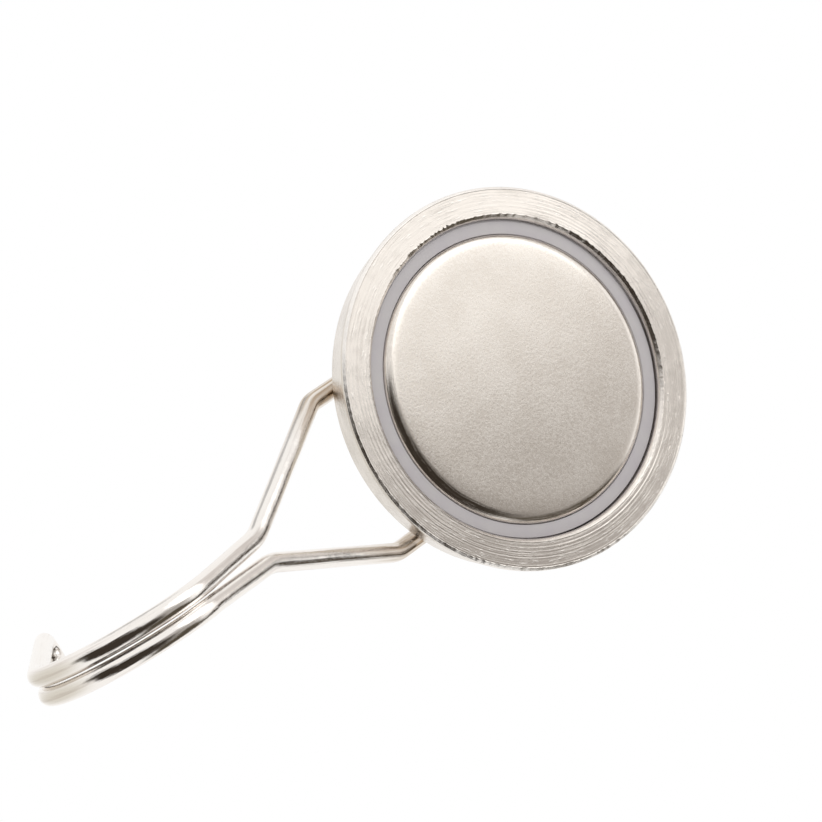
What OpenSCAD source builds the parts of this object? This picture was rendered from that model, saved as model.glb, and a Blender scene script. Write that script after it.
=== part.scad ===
// Swivelling magnetic hook: a pot magnet whose back carries a turning bracket and a swinging wire hook.
// Millimetres. The face that grips steel lies at z = 0 and looks down; the back of the cup looks up.
// The hook lies towards -Y with its legs just clear of the cup's back edge, and it swings about X.

/* [Cup] */
// Outside diameter of the steel cup at its face
cup_d = 36; // [34:0.5:40]
// Height of the cup from its face to its back
cup_h = 4.8; // [4.6:0.1:5]
// Diameter of the pocket that holds the magnet
pocket_d = 30; // [29.5:0.1:30.5]
// Inward lean of the side wall, in degrees from upright
side_taper = 13; // [10:1:15]

/* [Magnet] */
// Diameter of the magnet disc
magnet_d = 27.2; // [26:0.1:28]
// Thickness of the magnet disc
magnet_t = 2.6; // [2.4:0.1:2.8]
// Depth of the magnet's face below the cup's rim
magnet_recess = 0.2; // [0.1:0.05:0.4]
// Depth of the resin's surface below the cup's rim
resin_recess = 0.8; // [0.6:0.05:1.2]

/* [Swivel] */
// Diameter of the rivet's shank
rivet_d = 4; // [3.5:0.1:4.2]
// Sheet thickness of the bracket
bracket_t = 1.2; // [1:0.1:1.3]
// Width of the bracket across its ears
bracket_w = 13; // [12.6:0.1:13.2]
// Height of the hook's swing axis above the face
pivot_h = 9.3; // [9.2:0.1:10]

/* [Hook] */
// Diameter of the hook's wire
wire_d = 1.8; // [1.6:0.1:1.8]
// Distance between the centres of the two legs
leg_spacing = 15.8; // [15.6:0.1:16.4]
// Length of each leg from the swing axis to its first bend
leg_len = 18; // [17.8:0.1:20]
// Length of the stretch where the legs close in on each other, seen from the side
closing_len = 17.4; // [14:0.1:18]
// Length of the straight shank below the legs, seen from the side
shank_len = 9.2; // [8:0.1:12]
// Radius of the hook's bend, at the wire's centre
hook_r = 8.8; // [8:0.1:11]
// Angle through which the hook's bend turns
hook_turn = 145; // [120:1:150]
// Length of the straight tip past the bend
tip_len = 18; // [10:0.5:20]

/* [Hidden] */
$fn = 96;

overcut = 0.5;

// Cup: a short rim band, a leaning side wall and a chamfered back edge
cup_r = cup_d / 2;
rim_edge = 0.2;
rim_band = 0.5;
back_edge = 0.5;
side_in = (cup_h - back_edge - rim_band) * tan(side_taper);
back_r = cup_r - side_in - back_edge;
pocket_r = pocket_d / 2;
pocket_edge = 0.35;

// Magnet, resin and glue
magnet_r = magnet_d / 2;
magnet_edge = 0.7;
glue_t = 0.1;
magnet_back = magnet_recess + magnet_t;
floor_z = magnet_back + glue_t;

// Rivet: a flat head in the cup's floor, a shank and a domed head over the bracket
rivet_r = rivet_d / 2;
head_r = 3.6;
head_t = 0.9;
head_gap = 0.05;
dome_r = 3.5;
dome_h = 1.3;
dome_edge = 0.35;
dome_rise = dome_h - dome_edge;
dome_sphere_r = (dome_r * dome_r + dome_rise * dome_rise) / (2 * dome_rise);
turn_gap = 0.08;
float_gap = 0.05;

// Washer and bracket, stacked on the cup's back
washer_t = 0.4;
washer_r = 4.8;
base_z = cup_h + washer_t + float_gap;
base_top = base_z + bracket_t;
dome_z = base_top + float_gap;
base_r = 5.4;
ear_r = 2.3;
ear_w = 4.2;
ear_fold_r = 1.6;
ear_hole_r = wire_d / 2 + turn_gap;
fold_steps = 6;
// Extra length on each side of the tool that cuts the bracket's outline
blank_margin = 1;

// Hook: its legs lie just clear of the cup's back edge, and angles are seen from the side, below level
wire_r = wire_d / 2;
leg_x = leg_spacing / 2;
rest_gap = 0.07;
rest_rise = pivot_h - cup_h - rest_gap;
rest_reach = sqrt(back_r * back_r - leg_x * leg_x);
leg_drop = acos(wire_r / norm([rest_rise, rest_reach])) - atan2(rest_reach, rest_rise);
leg_kink = 15.7;
shank_drop = leg_drop + leg_kink;
neck_x = 1.25;
pair_x = wire_r + 0.04;
loop_x = 1.25;
pin_end_x = 4.3;
ear_bend_r = 1.35;
leg_bend_r = 3;
neck_bend_r = 6;
soft_bend_r = 20;
// Straight wire left on each side of the hook's bend
bend_margin = 1;
spread_margin = 1.5;
loop_margin = 2;
// Each bend runs a little way into the straights beside it and is a hair thinner,
// so their faces never coincide
bend_overlap = 1;
bend_inset = 0.01;

// A step in the hook's side plane: along at an angle below level, with a sideways shift in x
function side_step(from, len, drop, x) = [x, from[1] - len * cos(drop), from[2] - len * sin(drop)];

// The wire's corners from the pin in one ear to the start of the tip's loop
pin_start = [pin_end_x, 0, pivot_h];
ear_corner = [leg_x, 0, pivot_h];
leg_corner = side_step(ear_corner, leg_len, leg_drop, leg_x);
neck_corner = side_step(leg_corner, closing_len, shank_drop, neck_x);
shank_corner = side_step(neck_corner, shank_len, shank_drop, pair_x);
hook_reach = hook_r * tan(hook_turn / 2);
hook_corner = side_step(shank_corner, bend_margin + hook_reach, shank_drop, pair_x);
tip_drop = shank_drop - hook_turn;
spread_start = side_step(hook_corner, hook_reach + spread_margin, tip_drop, pair_x);
spread_end = side_step(spread_start, tip_len - spread_margin - loop_margin, tip_drop, loop_x);
loop_start = side_step(spread_end, loop_margin, tip_drop, loop_x);

WIRE_ROUTE = [
    pin_start, ear_corner, leg_corner, neck_corner, shank_corner,
    hook_corner, spread_start, spread_end, loop_start
];
WIRE_BENDS = [0, ear_bend_r, leg_bend_r, neck_bend_r, soft_bend_r, hook_r, soft_bend_r, soft_bend_r, 0];

function unit(v) = v / norm(v);
function direction(pts, i) = unit(pts[i + 1] - pts[i]);
function turn_angle(a, b) = acos(max(-1, min(1, a * b)));
// How far before and after corner i its bend begins and ends
function bend_reach(pts, radii, i) = radii[i] == 0
    ? 0
    : radii[i] * tan(turn_angle(direction(pts, i - 1), direction(pts, i)) / 2);

// A direction square to dir, from a reference axis that dir doesn't run along
function square_to(dir) = unit(cross(dir, abs(dir[0]) > abs(dir[1]) ? [0, 0, 1] : [1, 0, 0]));

// Places children so that their z axis runs along dir and their x axis along side
module along(origin, dir, side) {
    other = cross(dir, side);
    multmatrix([
        [side[0], other[0], dir[0], origin[0]],
        [side[1], other[1], dir[1], origin[1]],
        [side[2], other[2], dir[2], origin[2]],
        [0, 0, 0, 1]
    ])
        children();
}

// The straight stretch of wire from corner i to the next
module wire_straight(pts, radii, i) {
    dir = direction(pts, i);
    start = pts[i] + dir * bend_reach(pts, radii, i);
    stop = pts[i + 1] - dir * bend_reach(pts, radii, i + 1);
    along(start, dir, square_to(dir))
        cylinder(h = norm(stop - start), r = wire_r);
}

// A bent stretch of wire of the given radius, turning by angle from the z axis's plane
module wire_arc(radius, angle) {
    rotate_extrude(angle = angle + 2 * bend_overlap, start = -bend_overlap)
        translate([radius, 0])
            circle(r = wire_r - bend_inset);
}

// The bent stretch of wire round corner i
module wire_bend(pts, radii, i) {
    before = direction(pts, i - 1);
    after = direction(pts, i);
    axis = unit(cross(before, after));
    outward = cross(before, axis);
    start = pts[i] - before * bend_reach(pts, radii, i);
    along(start - outward * radii[i], axis, outward)
        wire_arc(radii[i], turn_angle(before, after));
}

// One half of the hook's wire, from an ear to the start of the tip's loop
module half_wire() {
    for (i = [0 : len(WIRE_ROUTE) - 2])
        wire_straight(WIRE_ROUTE, WIRE_BENDS, i);
    for (i = [1 : len(WIRE_ROUTE) - 2])
        wire_bend(WIRE_ROUTE, WIRE_BENDS, i);
}

// The loop that joins the two halves at the hook's tip
module tip_loop() {
    tip_dir = direction(WIRE_ROUTE, len(WIRE_ROUTE) - 2);
    along([0, loop_start[1], loop_start[2]], cross([1, 0, 0], tip_dir), [1, 0, 0])
        wire_arc(loop_x, 180);
}

module cup() {
    color("gainsboro")
        difference() {
            rotate_extrude()
                polygon([
                    [0, 0], [cup_r - rim_edge, 0], [cup_r, rim_edge], [cup_r, rim_band],
                    [cup_r - side_in, cup_h - back_edge], [back_r, cup_h], [0, cup_h]
                ]);
            rotate_extrude()
                polygon([
                    [0, -overcut], [pocket_r + pocket_edge + overcut, -overcut], [pocket_r, pocket_edge],
                    [pocket_r, floor_z], [head_r + head_gap, floor_z],
                    [head_r + head_gap, floor_z + head_t], [rivet_r, floor_z + head_t],
                    [rivet_r, cup_h + overcut], [0, cup_h + overcut]
                ]);
        }
}

module magnet() {
    color("silver")
        rotate_extrude() {
            translate([0, magnet_recess + magnet_edge])
                square([magnet_r, magnet_t - magnet_edge]);
            translate([0, magnet_recess])
                square([magnet_r - magnet_edge, magnet_edge]);
            translate([magnet_r - magnet_edge, magnet_recess + magnet_edge])
                circle(r = magnet_edge);
        }
}

module resin_ring() {
    color("lightsteelblue")
        rotate_extrude()
            polygon([
                [magnet_r, resin_recess], [pocket_r, resin_recess], [pocket_r, floor_z], [magnet_r, floor_z]
            ]);
}

module adhesive_layer() {
    color("lightsteelblue")
        translate([0, 0, magnet_back])
            cylinder(h = glue_t, r = magnet_r);
}

module swivel_rivet() {
    color("silver") {
        translate([0, 0, floor_z])
            cylinder(h = head_t, r = head_r);
        translate([0, 0, floor_z + head_t])
            cylinder(h = dome_z - floor_z - head_t, r = rivet_r);
        translate([0, 0, dome_z])
            cylinder(h = dome_edge, r = dome_r);
        translate([0, 0, dome_z + dome_edge])
            intersection() {
                cylinder(h = dome_h, r = dome_r);
                translate([0, 0, dome_rise - dome_sphere_r])
                    sphere(r = dome_sphere_r);
            }
    }
}

module swivel_washer() {
    color("silver")
        translate([0, 0, cup_h])
            difference() {
                cylinder(h = washer_t, r = washer_r);
                translate([0, 0, -overcut])
                    cylinder(h = washer_t + 2 * overcut, r = rivet_r + turn_gap);
            }
}

// The bracket's U section across x, with rounded folds, as points of one closed outline
function fold_arc(cx, cz, r, from, to) = [
    for (k = [0 : fold_steps])
        let (angle = from + (to - from) * k / fold_steps) [cx + r * cos(angle), cz + r * sin(angle)]
];

module bracket_section() {
    outer = bracket_w / 2;
    inner = outer - bracket_t;
    fold_in = ear_fold_r - bracket_t;
    fold_z = base_z + ear_fold_r;
    polygon(concat(
        fold_arc(-outer + ear_fold_r, fold_z, ear_fold_r, 180, 270),
        fold_arc(outer - ear_fold_r, fold_z, ear_fold_r, 270, 360),
        [[outer, pivot_h + ear_r], [inner, pivot_h + ear_r]],
        fold_arc(inner - fold_in, fold_z, fold_in, 360, 270),
        fold_arc(-inner + fold_in, fold_z, fold_in, 270, 180),
        [[-inner, pivot_h + ear_r], [-outer, pivot_h + ear_r]]
    ));
}

// The sheet's outline seen from above the base and from the side of the ears
module bracket_blank() {
    translate([0, 0, base_z - overcut])
        cylinder(h = bracket_t + overcut, r = base_r);
    translate([-bracket_w, -ear_w / 2, base_z - overcut])
        cube([2 * bracket_w, ear_w, pivot_h - base_z + overcut]);
    translate([-bracket_w, 0, pivot_h])
        rotate([0, 90, 0])
            cylinder(h = 2 * bracket_w, r = ear_r);
}

module swivel_bracket() {
    color("gainsboro")
        difference() {
            intersection() {
                translate([0, base_r + blank_margin, 0])
                    rotate([90, 0, 0])
                        linear_extrude(2 * (base_r + blank_margin))
                            bracket_section();
                bracket_blank();
            }
            translate([0, 0, base_z - overcut])
                cylinder(h = bracket_t + 2 * overcut, r = rivet_r + turn_gap);
            translate([-bracket_w, 0, pivot_h])
                rotate([0, 90, 0])
                    cylinder(h = 2 * bracket_w, r = ear_hole_r);
        }
}

module wire_hook() {
    color("gainsboro") {
        half_wire();
        mirror([1, 0, 0])
            half_wire();
        tip_loop();
    }
}

cup();
magnet();
resin_ring();
adhesive_layer();
swivel_rivet();
swivel_washer();
swivel_bracket();
wire_hook();
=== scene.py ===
"""Swivelling magnetic wire hook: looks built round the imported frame. Lengths are in millimetres."""
import math

import bmesh
import bpy
import numpy as np
from mathutils import Matrix, Vector


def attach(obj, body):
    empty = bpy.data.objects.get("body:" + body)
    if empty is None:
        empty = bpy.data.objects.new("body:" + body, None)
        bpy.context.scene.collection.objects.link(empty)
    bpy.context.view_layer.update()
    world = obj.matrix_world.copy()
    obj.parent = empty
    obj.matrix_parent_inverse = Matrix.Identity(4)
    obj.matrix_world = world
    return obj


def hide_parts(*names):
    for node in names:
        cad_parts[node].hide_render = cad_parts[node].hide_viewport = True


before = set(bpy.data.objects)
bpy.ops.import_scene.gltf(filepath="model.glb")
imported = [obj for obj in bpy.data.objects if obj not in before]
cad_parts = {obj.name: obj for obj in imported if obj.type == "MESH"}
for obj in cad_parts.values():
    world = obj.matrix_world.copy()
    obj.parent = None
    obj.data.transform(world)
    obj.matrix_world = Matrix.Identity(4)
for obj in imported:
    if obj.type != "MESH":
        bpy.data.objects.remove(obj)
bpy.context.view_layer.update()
MM = 0.001

# The cup: its radius and height, the flat rim's two edges, the top of its side, its back, and its pocket
CUP_R = 18.0
CUP_H = 4.8
RIM_IN = 15.35
RIM_OUT = 17.77
SIDE_TOP_R = 17.12
SIDE_TOP_Z = 4.3
BACK_R = 16.62
POCKET_R = 15.0
FLOOR_Z = 2.9

# The magnet: its radius, its face and back, and how far its rolled edge reaches across and down
MAGNET_R = 13.6
MAGNET_FACE = 0.2
MAGNET_BACK = 2.8
EDGE_ACROSS = 1.15
EDGE_DEEP = 0.72
MAGNET_FLAT_R = MAGNET_R - EDGE_ACROSS

# The rivet: its shank, the top of its flat head, the recess round the head, and its dome's foot and radius
SHANK_R = 2.0
HEAD_Z = 3.8
HEAD_SEAT_R = 3.65
DOME_Z = 6.5
DOME_R = 3.46

# The hook's wire and the height of its swing axis
WIRE_R = 0.9
PIVOT_Z = 9.3


# ---------------------------------------------------------------- mesh helpers

def arc_points(centre, radius, start, stop, steps):
    """Points of an arc in a profile's plane, from one angle to another in degrees."""
    angles = [math.radians(start + (stop - start) * i / steps) for i in range(steps + 1)]
    return [(centre[0] + radius * math.cos(a), centre[1] + radius * math.sin(a)) for a in angles]


def rounded(corners, closed=False, steps=5):
    """A polyline of (x, y, radius) corners with each corner turned into an arc."""
    n = len(corners)
    out = []
    for i, (x, y, radius) in enumerate(corners):
        here = Vector((x, y))
        if radius == 0 or (not closed and i in (0, n - 1)):
            out.append((x, y))
            continue
        before = (Vector(corners[i - 1][:2]) - here).normalized()
        after = (Vector(corners[(i + 1) % n][:2]) - here).normalized()
        half = before.angle(after) / 2
        reach = radius / math.tan(half)
        centre = here + (before + after).normalized() * (radius / math.sin(half))
        first = here + before * reach - centre
        turn = first.angle_signed(here + after * reach - centre)
        for k in range(steps + 1):
            a = -turn * k / steps
            across = first.x * math.cos(a) - first.y * math.sin(a)
            up = first.x * math.sin(a) + first.y * math.cos(a)
            out.append(tuple(centre + Vector((across, up))))
    return out


def link_piece(mesh, bm):
    """A smooth-shaded object from a mesh and the bmesh that fills it, with its faces looking outwards."""
    bmesh.ops.recalc_face_normals(bm, faces=bm.faces)
    bm.to_mesh(mesh)
    bm.free()
    mesh.shade_smooth()
    piece = bpy.data.objects.new(mesh.name, mesh)
    bpy.context.scene.collection.objects.link(piece)
    return piece


def new_piece(name, vertices, faces):
    """An object from vertices in millimetres and faces."""
    mesh = bpy.data.meshes.new(name)
    mesh.from_pydata([tuple(c * MM for c in v) for v in vertices], [], faces)
    bm = bmesh.new()
    bm.from_mesh(mesh)
    return link_piece(mesh, bm)


def lathe(name, profile, segments, shift=None, closed=False):
    """Turns a profile of (radius, z) points about the Z axis. shift(radius, z, angle) gives how far a point
    moves outwards and up. A closed profile's last point joins its first."""
    vertices = []
    rings = []
    for radius, z in profile:
        if radius < 1e-6:
            rings.append([len(vertices)] * segments)
            vertices.append((0.0, 0.0, z))
            continue
        ring = []
        for s in range(segments):
            angle = 2 * math.pi * s / segments
            out, up = shift(radius, z, angle) if shift else (0.0, 0.0)
            ring.append(len(vertices))
            vertices.append(((radius + out) * math.cos(angle), (radius + out) * math.sin(angle), z + up))
        rings.append(ring)
    if closed:
        rings.append(rings[0])
    faces = []
    for low, high in zip(rings, rings[1:]):
        for s in range(segments):
            t = (s + 1) % segments
            corners = [low[s], low[t], high[t], high[s]]
            unique = [c for i, c in enumerate(corners) if c not in corners[:i]]
            if len(unique) > 2:
                faces.append(unique)
    return new_piece(name, vertices, faces)


# ---------------------------------------------------------------- shader helpers

class Nodes:
    """A small wrapper that makes and links shader nodes."""

    def __init__(self, tree):
        self.tree = tree
        self.tree.nodes.clear()

    def add(self, kind, inputs=None, **settings):
        node = self.tree.nodes.new(kind)
        for key, value in settings.items():
            setattr(node, key, value)
        for key, value in (inputs or {}).items():
            if isinstance(value, bpy.types.NodeSocket):
                self.tree.links.new(value, node.inputs[key])
            else:
                node.inputs[key].default_value = value
        return node

    def object_coords(self):
        """Object coordinates in millimetres."""
        coords = self.add("ShaderNodeTexCoord")
        node = self.add("ShaderNodeVectorMath", {0: coords.outputs["Object"], 3: 1 / MM}, operation="SCALE")
        return node.outputs[0]

    def noise(self, vector, scale, detail=3.0, roughness=0.5):
        node = self.add("ShaderNodeTexNoise", {"Vector": vector, "Scale": scale, "Detail": detail,
                                                "Roughness": roughness})
        return node.outputs["Fac"]

    def math(self, operation, a, b=0.0):
        node = self.add("ShaderNodeMath", {0: a, 1: b}, operation=operation)
        return node.outputs[0]

    def vector(self, operation, a, b=None, output=0):
        inputs = {0: a} if b is None else {0: a, 1: b}
        return self.add("ShaderNodeVectorMath", inputs, operation=operation).outputs[output]

    def join(self, x, y, z):
        return self.add("ShaderNodeCombineXYZ", {0: x, 1: y, 2: z}).outputs[0]

    def split(self, vector):
        return self.add("ShaderNodeSeparateXYZ", {0: vector}).outputs

    def attribute(self, name):
        return self.add("ShaderNodeAttribute", attribute_name=name).outputs["Fac"]

    def spread(self, value, low, high, out_low, out_high):
        """Maps a range of a value to another, with smooth ends."""
        node = self.add("ShaderNodeMapRange", {"Value": value, "From Min": low, "From Max": high,
                                                "To Min": out_low, "To Max": out_high},
                        interpolation_type="SMOOTHSTEP")
        return node.outputs["Result"]

    def mix(self, factor, a, b):
        node = self.add("ShaderNodeMix", {0: factor, 6: a, 7: b}, data_type="RGBA")
        return node.outputs[2]

    def bump(self, height, strength, distance, normal=None):
        inputs = {"Height": height, "Strength": strength, "Distance": distance * MM}
        if normal is not None:
            inputs["Normal"] = normal
        return self.add("ShaderNodeBump", inputs).outputs["Normal"]


def colour(r, g, b):
    return (r, g, b, 1.0)


def material(name, **shader):
    """A new material with a Principled shader, its node wrapper and its shader node."""
    mat = bpy.data.materials.new(name)
    mat.use_nodes = True
    nodes = Nodes(mat.node_tree)
    bsdf = nodes.add("ShaderNodeBsdfPrincipled")
    out = nodes.add("ShaderNodeOutputMaterial")
    mat.node_tree.links.new(bsdf.outputs[0], out.inputs["Surface"])
    for key, value in shader.items():
        bsdf.inputs[key.replace("_", " ")].default_value = value
    return mat, nodes, bsdf


def connect(nodes, bsdf, **sockets):
    for key, value in sockets.items():
        nodes.tree.links.new(value, bsdf.inputs[key.replace("_", " ")])


NICKEL = colour(0.82, 0.775, 0.735)
NICKEL_DULL = colour(0.70, 0.655, 0.61)
NICKEL_BRIGHT = colour(0.95, 0.92, 0.89)
# How much closer the turning marks lie up a side than across a face, and how far they wander
MARK_CLIMB = 3.0
MARK_DRIFT = 0.5


def lathe_coords(nodes, coords, drift, turns):
    """The distance from the Z axis, and coordinates for turning marks: fine across the marks and slow along
    them, so that each mark is an arc."""
    flat = nodes.vector("MULTIPLY", coords, (1, 1, 0))
    radius = nodes.vector("LENGTH", flat, output="Value")
    way = nodes.split(nodes.vector("NORMALIZE", flat))
    across = nodes.math("ADD", radius, nodes.math("MULTIPLY", nodes.split(coords)[2], MARK_CLIMB))
    across = nodes.math("ADD", across, nodes.math("MULTIPLY", drift, MARK_DRIFT))
    marks = nodes.join(across, nodes.math("MULTIPLY", way[0], turns), nodes.math("MULTIPLY", way[1], turns))
    return radius, marks


def turned_nickel():
    """The cup: nickel plating over turned steel, with fine rings and flecks, worn bright at its edge."""
    mat, nodes, bsdf = material("turned_nickel", Metallic=1.0)
    coords = nodes.object_coords()
    drift = nodes.noise(coords, 0.12, 1.0)
    radius, marks = lathe_coords(nodes, coords, drift, 0.5)
    rings = nodes.noise(marks, 5.0, 5.0, 0.75)
    short_marks = lathe_coords(nodes, coords, drift, 2.4)[1]
    flecks = nodes.spread(nodes.noise(short_marks, 7.0, 2.0), 0.60, 0.72, 0.0, 1.0)
    cloud = nodes.noise(coords, 0.30, 2.0)
    grain = nodes.noise(coords, 7.0, 4.0, 0.7)
    patchy = nodes.spread(cloud, 0.38, 0.62, 0.25, 1.0)
    stain = nodes.math("MULTIPLY", nodes.spread(rings, 0.45, 0.70, 0.0, 1.0), patchy)
    base = nodes.mix(stain, NICKEL, NICKEL_DULL)
    edge = nodes.math("MULTIPLY", nodes.spread(radius, RIM_OUT - 0.07, RIM_OUT + 0.03, 0.0, 1.0),
                      nodes.spread(nodes.split(coords)[2], 0.22, 0.35, 1.0, 0.0))
    bright = nodes.math("MAXIMUM", edge, nodes.math("MULTIPLY", flecks, 0.6))
    base = nodes.mix(bright, base, NICKEL_BRIGHT)
    rough = nodes.math("ADD", nodes.spread(rings, 0.3, 0.7, 0.15, 0.26), nodes.math("MULTIPLY", grain, 0.06))
    fine = nodes.bump(nodes.math("MULTIPLY", rings, patchy), 0.8, 0.04)
    fine = nodes.bump(flecks, 0.4, 0.02, fine)
    normal = nodes.bump(grain, 0.55, 0.012, fine)
    connect(nodes, bsdf, Base_Color=base, Roughness=rough, Normal=normal)
    return mat


def satin_nickel():
    """The magnet: satin plating with the grain of the sintered metal below, worn smoother at its edge."""
    mat, nodes, bsdf = material("satin_nickel", Metallic=1.0)
    coords = nodes.object_coords()
    radius, marks = lathe_coords(nodes, coords, nodes.noise(coords, 0.3, 1.0), 0.3)
    worn = nodes.spread(radius, MAGNET_FLAT_R - 0.10, MAGNET_FLAT_R + 0.30, 0.0, 1.0)
    matt = nodes.math("SUBTRACT", 1.0, nodes.math("MULTIPLY", worn, 0.75))
    scratch = nodes.math("MULTIPLY", nodes.spread(nodes.noise(marks, 9.0, 3.0), 0.55, 0.70, 0.0, 1.0), worn)
    grain = nodes.noise(coords, 3.5, 4.0, 0.70)
    speck = nodes.noise(coords, 11.0, 2.0)
    cloud = nodes.noise(coords, 0.22, 3.0)
    tone = nodes.math("ADD", nodes.math("MULTIPLY", grain, 0.6), nodes.math("MULTIPLY", cloud, 0.4))
    tone = nodes.spread(tone, 0.38, 0.62, 0.0, 1.0)
    base = nodes.mix(tone, colour(0.735, 0.685, 0.635), colour(0.825, 0.78, 0.735))
    rough = nodes.math("ADD", nodes.spread(grain, 0.3, 0.7, 0.20, 0.28), nodes.math("MULTIPLY", speck, 0.04))
    rough = nodes.math("MULTIPLY", rough, nodes.math("ADD", 0.45, nodes.math("MULTIPLY", matt, 0.55)))
    normal = nodes.bump(nodes.math("MULTIPLY", grain, matt), 0.58, 0.021)
    normal = nodes.bump(scratch, 0.4, 0.012, nodes.bump(speck, 0.4, 0.008, normal))
    connect(nodes, bsdf, Base_Color=base, Roughness=rough, Normal=normal)
    return mat


def grey_resin():
    """The potting resin: smooth and grey with a faint lavender cast."""
    mat, nodes, bsdf = material("grey_resin", IOR=1.5, Coat_Weight=0.15, Coat_Roughness=0.15)
    coords = nodes.object_coords()
    cloud = nodes.noise(coords, 0.5, 3.0)
    speck = nodes.spread(nodes.noise(coords, 7.0, 1.0), 0.70, 0.80, 0.0, 1.0)
    base = nodes.mix(cloud, colour(0.475, 0.445, 0.49), colour(0.555, 0.54, 0.54))
    base = nodes.mix(nodes.math("MULTIPLY", speck, 0.5), base, colour(0.38, 0.37, 0.38))
    rough = nodes.spread(cloud, 0.3, 0.7, 0.34, 0.44)
    normal = nodes.bump(nodes.noise(coords, 1.2, 2.0), 0.3, 0.03)
    connect(nodes, bsdf, Base_Color=base, Roughness=rough, Normal=normal)
    return mat


# The brown tarnish, deepened with painted shade from the cup close by, is full up to the first length along
# the wire from a pin, and fades out by the second
TARNISH_AND_PAINTED_SHADE = (18.5, 28.0)
# How closely the drawing lines lie round the wire, and how fast they change along it; their darker colour is
# partly painted dark reflection streaks
LINES_ROUND = 2.2
LINES_ALONG = 0.10


def bright_wire():
    """The hook's wire: bright plating with fine lines along it, darkened partly as painted dark reflection
    streaks, and a brown tarnish by the ears deepened with painted shade from the cup.
    """
    mat, nodes, bsdf = material("bright_wire", Metallic=1.0)
    coords = nodes.object_coords()
    turn = nodes.math("MULTIPLY", nodes.attribute("around"), 2 * math.pi)
    lined = nodes.join(nodes.math("MULTIPLY", nodes.math("COSINE", turn), LINES_ROUND),
                       nodes.math("MULTIPLY", nodes.math("SINE", turn), LINES_ROUND),
                       nodes.math("MULTIPLY", nodes.attribute("along"), LINES_ALONG))
    lines = nodes.noise(lined, 1.0, 5.0, 0.62)
    cloud = nodes.noise(coords, 0.6, 3.0)
    # Brown tarnish by the pins, deepened with painted shade where the cup shades the wire and darkens its
    # reflections
    tarnish_and_painted_shade = nodes.math("MULTIPLY", nodes.spread(nodes.attribute("from_pin"), *TARNISH_AND_PAINTED_SHADE, 0.85, 0.0),
                         nodes.spread(lines, 0.36, 0.60, 0.25, 1.0))
    # The lines darken the plating: partly the wire's drawing lines, partly painted dark reflection streaks
    lines_and_painted_streaks = nodes.spread(lines, 0.50, 0.72, 0.0, 0.6)
    base = nodes.mix(lines_and_painted_streaks, colour(0.92, 0.89, 0.86), colour(0.70, 0.64, 0.61))
    # The tarnish colour, which also serves as painted shade near the cup
    base = nodes.mix(tarnish_and_painted_shade, base, colour(0.42, 0.31, 0.19))
    rough = nodes.spread(cloud, 0.3, 0.7, 0.035, 0.075)
    rough = nodes.math("ADD", rough, nodes.math("MULTIPLY", lines, 0.05))
    normal = nodes.bump(cloud, 0.5, 0.04, nodes.bump(lines, 0.9, 0.045))
    connect(nodes, bsdf, Base_Color=base, Roughness=rough, Normal=normal)
    return mat


def pressed_steel(name, base_a, base_b, rough_low, rough_high):
    """Plated sheet or rivet steel: cloudy tone, fine scratches and soft grain."""
    mat, nodes, bsdf = material(name, Metallic=1.0)
    coords = nodes.object_coords()
    cloud = nodes.noise(coords, 0.8, 4.0)
    grain = nodes.noise(coords, 8.0, 3.0)
    streaked = nodes.add("ShaderNodeMapping", {"Vector": coords, "Rotation": (0.2, 0.3, 0.6),
                                                "Scale": (0.5, 9.0, 1.0)}).outputs[0]
    streak = nodes.noise(streaked, 1.3, 3.0, 0.6)
    base = nodes.mix(nodes.spread(cloud, 0.35, 0.65, 0.0, 1.0), base_a, base_b)
    rough = nodes.math("ADD", nodes.spread(streak, 0.3, 0.7, rough_low, rough_high),
                       nodes.math("MULTIPLY", grain, 0.05))
    normal = nodes.bump(streak, 0.3, 0.008, nodes.bump(grain, 0.3, 0.006))
    connect(nodes, bsdf, Base_Color=base, Roughness=rough, Normal=normal)
    return mat


def adhesive_film():
    """The glue film behind the magnet: cloudy grey."""
    mat, nodes, bsdf = material("adhesive_film", IOR=1.5)
    coords = nodes.object_coords()
    cloud = nodes.noise(coords, 0.9, 3.0)
    base = nodes.mix(cloud, colour(0.34, 0.34, 0.36), colour(0.46, 0.46, 0.48))
    rough = nodes.spread(cloud, 0.3, 0.7, 0.45, 0.6)
    connect(nodes, bsdf, Base_Color=base, Roughness=rough, Normal=nodes.bump(cloud, 0.3, 0.02))
    return mat


# ---------------------------------------------------------------- cup, magnet and resin

TURNS = 680
CHANCE = np.random.default_rng(11)


def ring_noise(count):
    """A function of an angle in radians that gives a smooth random value from 0 to 1, made from evenly
    spaced knots round a ring."""
    knots = CHANCE.random(count)

    def value(angle):
        place = (angle / (2 * math.pi)) % 1.0 * count
        k = int(place)
        blend = place - k
        blend = blend * blend * (3 - 2 * blend)
        return knots[k % count] * (1 - blend) + knots[(k + 1) % count] * blend

    return value


INNER_NICKS = ring_noise(600)
INNER_RUN = ring_noise(23)
OUTER_NICKS = ring_noise(520)
OUTER_RUN = ring_noise(19)
# Each groove's pitch and phase, and the number of times it fades round the ring and the phase of that
GROOVES = [(CHANCE.uniform(0.15, 0.42), CHANCE.uniform(0, 6.28), int(CHANCE.integers(1, 4)),
            CHANCE.uniform(0, 6.28)) for _ in range(9)]
GROOVE_DEPTH = 0.0075
# The sides where the grooves are deepest and where each edge is nicked the most
GROOVE_SIDE = math.radians(185)
INNER_SIDE = math.radians(40)
OUTER_SIDE = math.radians(218)
# How deep the deepest nicks cut, at the rim's inner and outer edge, and how much they cut into its face
INNER_NICK = 0.36
OUTER_NICK = 0.16
FACE_NICK = 0.02
# The grooved faces lie this far below the rim's edges and the back, and stop this far from the rim's edges
RIM_RELIEF = 0.022
BACK_RELIEF = 0.012
RIM_MARGIN = 0.06
BACK_FLAT_R = 5.0


def side_share(angle, side, power=1):
    """1 on one side of the ring, falling to 0 on the other."""
    return (0.5 + 0.5 * math.cos(angle - side)) ** power


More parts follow.
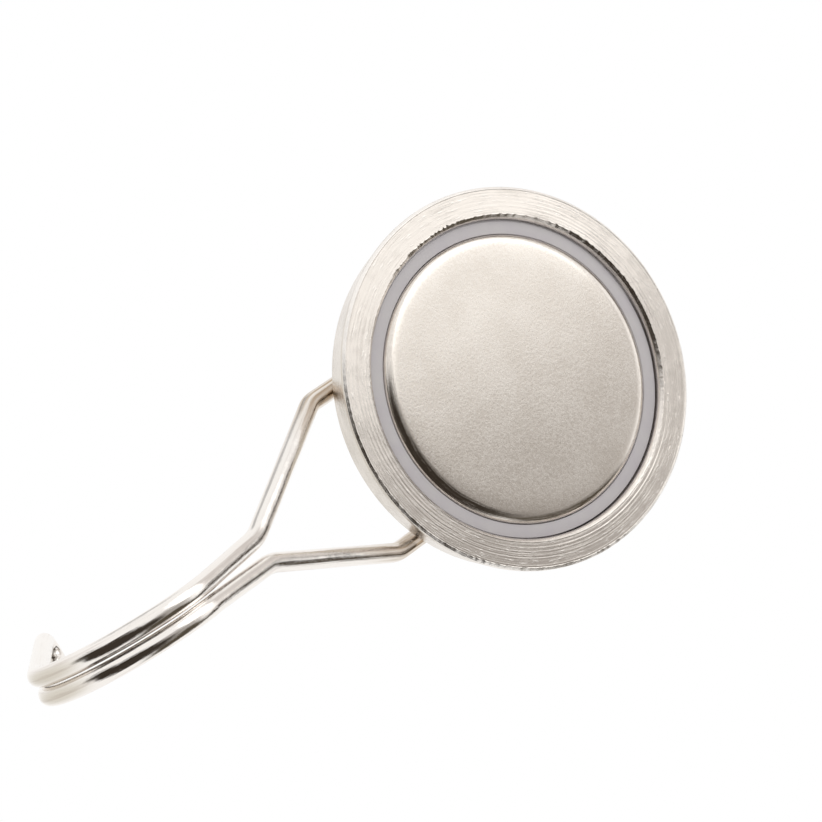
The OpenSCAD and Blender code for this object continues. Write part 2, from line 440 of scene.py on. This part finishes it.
def groove(radius, angle):
    """Height of the turned grooves on a flat ring. Several pitches overlap and each fades in and out round
    the ring, so that no two grooves look alike."""
    drift = radius + 0.03 * math.sin(angle + 1.0)
    height = 0.0
    for pitch, phase, waves, turn in GROOVES:
        fade = 0.55 + 0.45 * math.sin(waves * angle + turn)
        height += pitch * fade * math.sin(2 * math.pi * drift / pitch + phase)
    return GROOVE_DEPTH * height * (0.35 + 1.55 * side_share(angle, GROOVE_SIDE))


def cup_shift(radius, z, angle):
    """Turned grooves on the rim and back, and small nicks along the rim's two edges."""
    if z < 0.02 and RIM_IN + RIM_MARGIN < radius < RIM_OUT - RIM_MARGIN:
        return 0.0, RIM_RELIEF + groove(radius, angle)
    if z > CUP_H - 0.001 and BACK_FLAT_R + 0.2 < radius < BACK_R - 0.3:
        return 0.0, -BACK_RELIEF - 0.8 * groove(radius, angle)
    if z < 0.08 and radius < RIM_IN + RIM_MARGIN:
        nick = max(0.0, INNER_NICKS(angle) - 0.35) * (0.3 + INNER_RUN(angle))
        nick *= side_share(angle, INNER_SIDE)
        return INNER_NICK * nick, FACE_NICK * nick
    if z < 0.16 and RIM_OUT - RIM_MARGIN <= radius < CUP_R:
        nick = max(0.0, OUTER_NICKS(angle) - 0.3) * (0.3 + OUTER_RUN(angle))
        nick *= side_share(angle, OUTER_SIDE, 3)
        return -OUTER_NICK * nick, FACE_NICK * nick
    return 0.0, 0.0


def ring_steps(start, stop, step):
    """Even steps from one value to another, no smaller than a given step."""
    count = max(2, int(abs(stop - start) / step))
    return [start + (stop - start) * i / count for i in range(count + 1)]


def make_cup():
    """The turned cup. Its profile runs out over the rim, up the side, in over the back and down the
    pocket."""
    rim = [(r, 0.0) for r in ring_steps(RIM_IN + 0.08, RIM_OUT - 0.08, 0.045)]
    outer = rounded([(RIM_OUT - 0.08, 0, 0), (RIM_OUT, 0, 0.05), (CUP_R, 0.22, 0.12), (CUP_R, 0.5, 0.2),
                     (SIDE_TOP_R, SIDE_TOP_Z, 0.3), (BACK_R, CUP_H, 0.3), (BACK_R - 0.35, CUP_H, 0)])
    back = [(r, CUP_H) for r in ring_steps(BACK_R - 0.35, BACK_FLAT_R, 0.30)]
    inner = rounded([(4.0, CUP_H, 0), (SHANK_R, CUP_H, 0), (SHANK_R, HEAD_Z, 0), (HEAD_SEAT_R, HEAD_Z, 0),
                     (HEAD_SEAT_R, FLOOR_Z, 0), (POCKET_R, FLOOR_Z, 0.2), (POCKET_R, 0.45, 0.25),
                     (POCKET_R + 0.10, 0.24, 0.25), (RIM_IN, 0, 0.05), (RIM_IN + 0.07, 0, 0)], steps=4)
    profile = rim + outer + back + inner
    profile = [p for i, p in enumerate(profile) if i == 0 or p != profile[i - 1]]
    return lathe("cup_turned", profile, TURNS, cup_shift, closed=True)


def magnet_face(radius):
    """Height of the magnet's face, which falls away slightly towards its rolled edge."""
    return MAGNET_FACE + 0.05 * max(0.0, (radius - 10.5) / 2.1) ** 3


def make_magnet():
    """A disc whose edge rolls off softly, as tumbled magnets do."""
    face = [(r, magnet_face(r)) for r in ring_steps(0.0, MAGNET_FLAT_R, 0.15)]
    edge_z = face[-1][1] + EDGE_DEEP
    angles = [math.radians(9 + 81 * i / 14) for i in range(15)]
    edge = [(MAGNET_FLAT_R + EDGE_ACROSS * math.sin(a), edge_z - EDGE_DEEP * math.cos(a)) for a in angles]
    back = [(MAGNET_R, 2.5), (MAGNET_R - 0.1, MAGNET_BACK - 0.05), (MAGNET_R - 0.3, MAGNET_BACK),
            (0.0, MAGNET_BACK)]
    return lathe("magnet_disc", face + edge + back, 256)


# The resin's surface, and the width of its shrinkage gap by the magnet and by the cup's wall
RESIN_LEVEL = 0.80
SHRINK_GAP = 0.05
WALL_GAP = 0.13
# The gap by the cup's wall is open about this side, and closes between these cosines of the angle from it
GAP_SIDE = math.radians(165)
GAP_OPEN = 0.45
GAP_SHUT = 0.20


def make_resin():
    """Resin filling the gap. It has shrunk a little from both walls, which leaves a fine line at each."""
    low = MAGNET_R - 0.02
    high = POCKET_R - 0.005
    top = [(low, RESIN_LEVEL + 0.45), (low + SHRINK_GAP, RESIN_LEVEL + 0.18),
           (low + SHRINK_GAP + 0.03, RESIN_LEVEL)]
    top += [(r, RESIN_LEVEL) for r in ring_steps(low + 0.12, high - 0.13, 0.06)]
    top += [(high - WALL_GAP - 0.03, RESIN_LEVEL), (high - WALL_GAP, RESIN_LEVEL + 0.16),
            (high, RESIN_LEVEL + 0.5)]
    uneven = ring_noise(17)

    def sag(radius, z, angle):
        """The surface sags unevenly between its gaps, and the gap by the wall closes on one side."""
        if z > RESIN_LEVEL + 1:
            return 0.0, 0.0
        if z > RESIN_LEVEL + 0.1:
            part = (math.cos(angle - GAP_SIDE) - GAP_SHUT) / (GAP_OPEN - GAP_SHUT)
            shut = 1 - min(1.0, max(0.0, part)) if radius > MAGNET_R + 0.5 else 0.0
            return 0.0, (RESIN_LEVEL - z) * shut
        across = math.sin(math.pi * (radius - low) / (high - low))
        return 0.0, 0.05 * (uneven(angle) - 0.5) * across - 0.03 * across

    bottom = [(high, FLOOR_Z), (low, FLOOR_Z)]
    return lathe("resin_fill", top + bottom, 256, sag, closed=True)


# ---------------------------------------------------------------- rivet, washer and bracket

def make_rivet():
    """Flat head, shank and a set head with the ring that a spinning riveter leaves."""
    dome = [(3.42, DOME_Z), (3.5, DOME_Z + 0.08), (3.5, DOME_Z + 0.28), (DOME_R, DOME_Z + 0.38)]
    for i in range(1, 25):
        r = DOME_R * (1 - i / 24)
        height = 0.38 + 0.92 * math.sqrt(max(0.0, 1 - (r / DOME_R) ** 2)) ** 1.15
        tool_ring = 0.05 * math.exp(-((r - 1.5) / 0.12) ** 2)
        centre_dimple = 0.22 * math.exp(-(r / 0.55) ** 2)
        dome.append((r, DOME_Z + height - tool_ring - centre_dimple))
    head = [(0.0, FLOOR_Z), (3.45, FLOOR_Z), (3.6, 3.05), (3.6, 3.65), (3.45, HEAD_Z), (SHANK_R, HEAD_Z)]
    return lathe("rivet_set_head", head + [(SHANK_R, DOME_Z)] + dome, 128)


def make_washer():
    """A stamped washer, with a larger radius at its upper outer edge."""
    hole_r = 2.1
    outer_r = 4.8
    low = CUP_H + 0.002
    high = low + 0.39
    corners = [(hole_r, low, 0.05), (outer_r, low, 0.05), (outer_r, high, 0.14), (hole_r, high, 0.1)]
    return lathe("washer_ring", rounded(corners, closed=True, steps=4), 160, closed=True)


# The bracket's sheet, the underside of its base, where its folds start, their outer radius, and its holes
SHEET_T = 1.2
BASE_Z = 5.25
FOLD_X = 4.9
FOLD_R = 1.6
RIVET_HOLE_R = 2.08
EAR_HOLE_R = 0.98
# How far the ear's hole lies from the middle on the flat blank
EAR_HOLE_U = FOLD_X + (FOLD_R - SHEET_T / 2) * math.pi / 2 + PIVOT_Z - BASE_Z - FOLD_R


def circle_loop(centre, radius, steps):
    """Points of a whole circle, anticlockwise."""
    angles = [2 * math.pi * i / steps for i in range(steps)]
    return [(centre[0] + radius * math.cos(a), centre[1] + radius * math.sin(a)) for a in angles]


def bracket_outline():
    """The flat blank: a round base with an ear strip either side, as one loop in (across, depth)."""
    base_r = 5.4
    half = 2.1
    ear_r = 2.3
    foot = math.degrees(math.asin(half / base_r))
    tip = math.degrees(math.asin(half / ear_r))
    right = arc_points((EAR_HOLE_U, 0), ear_r, -(180 - tip), 180 - tip, 28)
    upper = arc_points((0, 0), base_r, foot + 2, 178 - foot, 36)
    run = ring_steps(EAR_HOLE_U - 1.2, 5.3, 0.35)
    strip = [(u, half) for u in run]
    half_loop = right + strip + upper
    other = [(-x, -y) for x, y in half_loop]
    return half_loop + [(-u, half) for u in reversed(run)] + other + [(u, -half) for u in reversed(run)]


def inset_loop(loop, amount):
    """The loop moved inwards; it runs anticlockwise, or clockwise for a hole."""
    n = len(loop)
    out = []
    for i, p in enumerate(loop):
        tangent = (Vector(loop[(i + 1) % n]) - Vector(loop[i - 1])).normalized()
        out.append((p[0] - tangent.y * amount, p[1] + tangent.x * amount))
    return out


def fold(u, v, w):
    """Folds the flat blank up at both ends. w runs from 0 on the underside to the sheet's thickness."""
    side = 1 if u >= 0 else -1
    u = abs(u)
    mid_r = FOLD_R - SHEET_T / 2
    radius = FOLD_R - w
    if u <= FOLD_X:
        return side * u, v, BASE_Z + w
    angle = (u - FOLD_X) / mid_r
    if angle < math.pi / 2:
        return side * (FOLD_X + radius * math.sin(angle)), v, BASE_Z + FOLD_R - radius * math.cos(angle)
    return side * (FOLD_X + radius), v, BASE_Z + FOLD_R + u - FOLD_X - mid_r * math.pi / 2


def make_bracket():
    """Pressed sheet with rounded edges, cut flat and then folded."""
    edge = 0.22
    steps = 5
    turns = [math.pi / 2 * k / steps for k in range(steps + 1)]
    rings = [(edge * (1 - math.sin(a)), edge * (1 - math.cos(a))) for a in turns]
    levels = rings + [(i, SHEET_T - w) for i, w in reversed(rings)]
    holes = (circle_loop((0, 0), RIVET_HOLE_R, 48), circle_loop((EAR_HOLE_U, 0), EAR_HOLE_R, 40),
             circle_loop((-EAR_HOLE_U, 0), EAR_HOLE_R, 40))
    loops = [bracket_outline()] + [list(reversed(hole)) for hole in holes]
    bm = bmesh.new()
    caps = {0: [], len(levels) - 1: []}
    for loop in loops:
        rows = []
        for k, (inset, w) in enumerate(levels):
            row = [bm.verts.new((x, y, w)) for x, y in inset_loop(loop, inset)]
            rows.append(row)
        n = len(loop)
        for low, high in zip(rows, rows[1:]):
            for i in range(n):
                bm.faces.new((low[i], low[(i + 1) % n], high[(i + 1) % n], high[i]))
        for k in caps:
            caps[k] += [bm.edges.get((rows[k][i], rows[k][(i + 1) % n])) for i in range(n)]
    for k, edges in caps.items():
        bmesh.ops.triangle_fill(bm, edges=edges, use_beauty=True, use_dissolve=False)
    cuts = [FOLD_X + (FOLD_R - SHEET_T / 2) * math.pi / 2 * i / 10 for i in range(11)]
    for u in [s * c for c in cuts for s in (-1, 1)]:
        bmesh.ops.bisect_plane(bm, geom=bm.verts[:] + bm.edges[:] + bm.faces[:], plane_co=(u, 0, 0),
                               plane_no=(1, 0, 0), dist=1e-5)
    for vertex in bm.verts:
        vertex.co = Vector(fold(*vertex.co)) * MM
    return link_piece(bpy.data.meshes.new("bracket_pressed"), bm)


# ---------------------------------------------------------------- wire hook

# Half the width between the pins' inner ends, the legs, the neck and the pair, and the tip's loop
PIN_X = 4.3
EAR_X = 7.9
NECK_X = 1.25
PAIR_X = 0.94
LOOP_R = 1.25
# Lengths in the side view, and how far below level the legs and the shank point, in degrees
LEG_LEN = 18.0
CLOSING_LEN = 17.4
SHANK_LEN = 9.2
LEG_DROP = 13.48
SHANK_DROP = 29.18
# The hook's bend, and the tip: where its wires start to spread, its length and the lead into its loop
HOOK_R = 8.8
HOOK_TURN = 145.0
TIP_SPREAD = 1.5
TIP_LEN = 14.5
LOOP_LEAD = 2.0
# The swept wire's faces round it, and the rise and the share of its radius of the rings that close its ends
WIRE_SIDES = 28
END_RINGS = ((0.12, 0.93), (0.2, 0.78))
# The ripples left by drawing, one oval and one round: a share of the radius, and radians per millimetre
OVAL_RIPPLE = (0.004, 0.9)
ROUND_RIPPLE = (0.003, 0.37)


def side_step(point, length, drop, x):
    """A step in the hook's side plane, at an angle below level, ending at a given x."""
    a = math.radians(drop)
    return Vector((x, point.y - length * math.cos(a), point.z - length * math.sin(a)))


def wire_corners():
    """The half wire's corners and the bend radius at each, from a pin to the tip's loop."""
    reach = HOOK_R * math.tan(math.radians(HOOK_TURN / 2))
    tip_drop = SHANK_DROP - HOOK_TURN
    pin = Vector((PIN_X, 0, PIVOT_Z))
    ear = Vector((EAR_X, 0, PIVOT_Z))
    leg = side_step(ear, LEG_LEN, LEG_DROP, EAR_X)
    neck = side_step(leg, CLOSING_LEN, SHANK_DROP, NECK_X)
    shank = side_step(neck, SHANK_LEN, SHANK_DROP, PAIR_X)
    hook = side_step(shank, 1 + reach, SHANK_DROP, PAIR_X)
    spread_a = side_step(hook, reach + TIP_SPREAD, tip_drop, PAIR_X)
    spread_b = side_step(spread_a, TIP_LEN, tip_drop, LOOP_R)
    loop = side_step(spread_b, LOOP_LEAD, tip_drop, LOOP_R)
    return [(pin, 0), (ear, 1.35), (leg, 3.0), (neck, 6.0), (shank, 20.0), (hook, HOOK_R), (spread_a, 20.0),
            (spread_b, 20.0), (loop, 0)]


def bend_reach(corners, k):
    """How far a corner's arc reaches along the straights on either side of it."""
    place, radius = corners[k]
    if radius == 0:
        return 0.0
    before = (place - corners[k - 1][0]).normalized()
    after = (corners[k + 1][0] - place).normalized()
    return radius * math.tan(before.angle(after) / 2)


def wire_path(step=0.35):
    """Points along the whole wire, from the +X pin round the hook to the -X pin."""
    corners = wire_corners()
    points = []
    for i in range(len(corners) - 1):
        here = corners[i][0]
        there, radius = corners[i + 1]
        direction = (there - here).normalized()
        start = here + direction * bend_reach(corners, i)
        stop = there - direction * bend_reach(corners, i + 1)
        count = max(2, int((stop - start).length / step))
        points += [start.lerp(stop, k / count) for k in range(count)]
        if radius:
            after = (corners[i + 2][0] - there).normalized()
            angle = direction.angle(after)
            outward = direction.cross(direction.cross(after).normalized())
            centre = stop - outward * radius
            count = max(3, int(radius * angle / step), int(math.degrees(angle) / 6))
            for k in range(count):
                a = angle * k / count
                points.append(centre + (outward * math.cos(a) + direction * math.sin(a)) * radius)
    end = corners[-1][0]
    direction = (end - corners[-2][0]).normalized()
    middle = Vector((0, end.y, end.z))
    for k in range(17):
        a = math.pi / 2 * k / 16
        points.append(middle + (Vector((1, 0, 0)) * math.cos(a) + direction * math.sin(a)) * LOOP_R)
    return points + [Vector((-p.x, p.y, p.z)) for p in reversed(points[:-1])]


def make_hook():
    """One wire swept along its path, with a faint ripple from drawing and with its ends rounded over."""
    sides = WIRE_SIDES
    centres = wire_path()
    n = len(centres)
    tangents = [(centres[min(i + 1, n - 1)] - centres[max(i - 1, 0)]).normalized() for i in range(n)]
    normal = tangents[0].cross(Vector((0, 0, 1))).normalized()
    vertices = []
    around = []
    along = []
    length = 0.0
    for i in range(n):
        if i:
            length += (centres[i] - centres[i - 1]).length
        normal = (normal - tangents[i] * normal.dot(tangents[i])).normalized()
        other = tangents[i].cross(normal)
        for s in range(sides):
            a = 2 * math.pi * s / sides
            oval = OVAL_RIPPLE[0] * math.sin(OVAL_RIPPLE[1] * length + 2 * a)
            swell = ROUND_RIPPLE[0] * math.sin(ROUND_RIPPLE[1] * length)
            radius = WIRE_R * (1 + oval + swell)
            vertices.append(centres[i] + (normal * math.cos(a) + other * math.sin(a)) * radius)
            around.append(s / sides)
            along.append(length)
    faces = []
    for i in range(n - 1):
        for s in range(sides):
            t = (s + 1) % sides
            faces.append((i * sides + s, i * sides + t, (i + 1) * sides + t, (i + 1) * sides + s))
    for first, outward in ((0, -1), ((n - 1) * sides, 1)):
        ring = list(range(first, first + sides))
        centre = centres[0 if first == 0 else -1]
        tangent = tangents[0 if first == 0 else -1] * outward
        for rise, share in END_RINGS:
            new = list(range(len(vertices), len(vertices) + sides))
            for s in range(sides):
                vertices.append(centre + (vertices[first + s] - centre) * share + tangent * rise)
                around.append(s / sides)
                along.append(along[first])
            for s in range(sides):
                t = (s + 1) % sides
                faces.append((ring[s], ring[t], new[t], new[s]))
            ring = new
        faces.append(tuple(ring))
    piece = new_piece("hook_wire_bent", vertices, faces)
    from_pin = [min(a, length - a) for a in along]
    for name, values in (("around", around), ("along", along), ("from_pin", from_pin)):
        attribute = piece.data.attributes.new(name, "FLOAT", "POINT")
        attribute.data.foreach_set("value", np.array(values, np.float32))
    return piece


# ---------------------------------------------------------------- assembly

def place(piece, mat, body, node, slot):
    """Gives a piece its material and body, and hides its CAD node. The slot is not used."""
    piece.data.materials.append(mat)
    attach(piece, body)
    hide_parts(node)


rivet_steel = pressed_steel("rivet_steel", colour(0.78, 0.76, 0.73), colour(0.70, 0.68, 0.65), 0.14, 0.24)
washer_steel = pressed_steel("washer_steel", colour(0.70, 0.70, 0.69), colour(0.60, 0.60, 0.60), 0.28, 0.4)
bracket_steel = pressed_steel("bracket_steel", colour(0.78, 0.76, 0.72), colour(0.70, 0.67, 0.63),
                              0.16, 0.28)

place(make_cup(), turned_nickel(), "base", "cup", "cup_steel")
place(make_magnet(), satin_nickel(), "base", "magnet", "magnet_plating")
place(make_resin(), grey_resin(), "base", "resin_ring", "resin")
place(make_rivet(), rivet_steel, "base", "swivel_rivet", "rivet_steel")
place(make_washer(), washer_steel, "base", "swivel_washer", "washer_steel")
place(make_bracket(), bracket_steel, "swivel", "swivel_bracket", "bracket_steel")
place(make_hook(), bright_wire(), "hook", "wire_hook", "hook_wire")

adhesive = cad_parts["adhesive_layer"]
adhesive.data.materials.clear()
adhesive.data.materials.append(adhesive_film())


# ---------------------------------------------------------------- studio

# The camera's place, its focal length and sensor, and the ways its right and top sides point
CAMERA_PLACE = (30.1, -146.8, -260.1)
CAMERA_LENS = 142.4
CAMERA_SENSOR = 36.0
CAMERA_RIGHT = (-0.5008, 0.7454, -0.440)
CAMERA_UP = (0.8606, 0.4832, -0.161)


def make_camera():
    """A viewpoint below the object, looking up at its face."""
    data = bpy.data.cameras.new("camera")
    data.lens = CAMERA_LENS
    data.sensor_width = CAMERA_SENSOR
    data.clip_start = 0.01
    camera = bpy.data.objects.new("camera", data)
    bpy.context.scene.collection.objects.link(camera)
    right = Vector(CAMERA_RIGHT)
    back = right.cross(Vector(CAMERA_UP)).normalized()
    up = back.cross(right).normalized()
    right = up.cross(back)
    turn = Matrix((right, up, back)).transposed().to_4x4()
    camera.matrix_world = Matrix.Translation(Vector(CAMERA_PLACE) * MM) @ turn
    bpy.context.scene.camera = camera


def make_floor():
    """A plain pale floor, well below the object. Its half width and height are in metres."""
    size = 3.0
    z = -0.42
    corners = [(-size, -size, z), (size, -size, z), (size, size, z), (-size, size, z)]
    mesh = bpy.data.meshes.new("floor")
    mesh.from_pydata(corners, [], [(0, 1, 2, 3)])
    floor = bpy.data.objects.new("floor", mesh)
    bpy.context.scene.collection.objects.link(floor)
    pale = material("floor_pale", Base_Color=colour(0.86, 0.86, 0.86), Roughness=0.9, IOR=1.3)[0]
    mesh.materials.append(pale)
    floor.visible_glossy = False


def area_light(name, location, size, power, tint):
    """A round light that faces the origin, unseen by the camera."""
    data = bpy.data.lights.new(name, "AREA")
    data.shape = "DISK"
    data.size = size * MM
    data.energy = power
    data.color = tint
    light = bpy.data.objects.new(name, data)
    bpy.context.scene.collection.objects.link(light)
    light.location = Vector(location) * MM
    light.rotation_mode = "QUATERNION"
    light.rotation_quaternion = (-Vector(location)).to_track_quat("-Z", "Y")
    light.visible_camera = False


STUDIO_TONE = (1.0, 0.985, 0.965)
LOW_DARK = (0.045, 0.036, 0.028)
HORIZON_DARK = (0.05, 0.038, 0.025)
# What the metal reflects of the room. Each patch has an azimuth, an elevation, how much it is flattened, the
# angles within which it is full and beyond which it is gone, all angles in degrees, and its tone.
PATCHES = (
    # below the object: a grey side, and a dark side in three parts
    (150, -64, 1.0, 14, 50, (0.42, 0.395, 0.37)),
    (-114, -42, 1.3, 33, 45, LOW_DARK),
    (-68, -14, 1.0, 12, 26, LOW_DARK),
    (-165, -68, 1.0, 12, 27, LOW_DARK),
    # near the horizon: a grey part, and a dark one in two parts
    (80, -2, 2.6, 16, 40, (0.70, 0.66, 0.63)),
    (107, -1, 2.0, 9, 20, HORIZON_DARK),
    (127, -5, 1.8, 10, 17, HORIZON_DARK),
    # above it: a narrow grey post and a wide pale grey side
    (17, 32, 1.0, 8, 15, (0.55, 0.54, 0.53)),
    (-90, 45, 1.0, 10, 60, (0.72, 0.69, 0.62)),
)
# A dark stretch of wall: its middle azimuth, the angles either side where it is full and gone, and the
# heights (as sines of elevation) between which it fades in, stays full and fades out.
WALL_WAY = 158
WALL_HALF = (19, 31)
WALL_HEIGHTS = (-0.80, -0.66, -0.06, 0.14)
WALL_TONE = (0.09, 0.075, 0.055)


def unit(azimuth, elevation):
    """The unit vector that points along an azimuth and an elevation in degrees."""
    a = math.radians(azimuth)
    e = math.radians(elevation)
    return Vector((math.cos(e) * math.cos(a), math.cos(e) * math.sin(a), math.sin(e)))


def within(nodes, cosine, full, gone):
    """1 where an angle, given by its cosine, is under one limit in degrees, falling to 0 at another."""
    return nodes.spread(cosine, math.cos(math.radians(gone)), math.cos(math.radians(full)), 0.0, 1.0)


def patch(nodes, direction, azimuth, elevation, squash, full, gone):
    """How much of a patch a direction meets."""
    way = unit(azimuth, elevation)
    aim = Vector((way.x, way.y, way.z * squash)).normalized()
    ray = nodes.vector("NORMALIZE", nodes.vector("MULTIPLY", direction, (1, 1, squash)))
    return within(nodes, nodes.vector("DOT_PRODUCT", ray, aim, "Value"), full, gone)


def wall(nodes, direction):
    """How much of the dark stretch of wall a direction meets."""
    bearing = nodes.vector("NORMALIZE", nodes.vector("MULTIPLY", direction, (1, 1, 0)))
    share = within(nodes, nodes.vector("DOT_PRODUCT", bearing, unit(WALL_WAY, 0), "Value"), *WALL_HALF)
    height = nodes.split(direction)[2]
    share = nodes.math("MULTIPLY", share, nodes.spread(height, *WALL_HEIGHTS[:2], 0.0, 1.0))
    return nodes.math("MULTIPLY", share, nodes.spread(height, *WALL_HEIGHTS[2:], 1.0, 0.0))


def make_world():
    """A white studio. What the camera sees behind the object is plain white; the metal also reflects the
    patches and the wall above."""
    world = bpy.data.worlds.new("studio")
    world.use_nodes = True
    bpy.context.scene.world = world
    nodes = Nodes(world.node_tree)
    direction = nodes.add("ShaderNodeTexCoord").outputs["Generated"]
    tone = colour(*STUDIO_TONE)
    for azimuth, elevation, squash, full, gone, shade in PATCHES:
        share = patch(nodes, direction, azimuth, elevation, squash, full, gone)
        tone = nodes.mix(share, tone, colour(*shade))
    tone = nodes.mix(wall(nodes, direction), tone, colour(*WALL_TONE))
    camera_ray = nodes.add("ShaderNodeLightPath").outputs["Is Camera Ray"]
    seen = nodes.mix(camera_ray, tone, colour(1, 1, 1))
    background = nodes.add("ShaderNodeBackground", {"Color": seen, "Strength": 1.0})
    out = nodes.add("ShaderNodeOutputWorld")
    nodes.tree.links.new(background.outputs[0], out.inputs["Surface"])


make_camera()
make_floor()
make_world()
area_light("key", location=(35, 32, -62), size=100, power=0.0171, tint=(0.985, 0.995, 0.98))
area_light("fill", location=(-24, 92, -62), size=104, power=0.0052, tint=(1.0, 0.985, 0.965))
bpy.context.scene.view_settings.view_transform = "Standard"
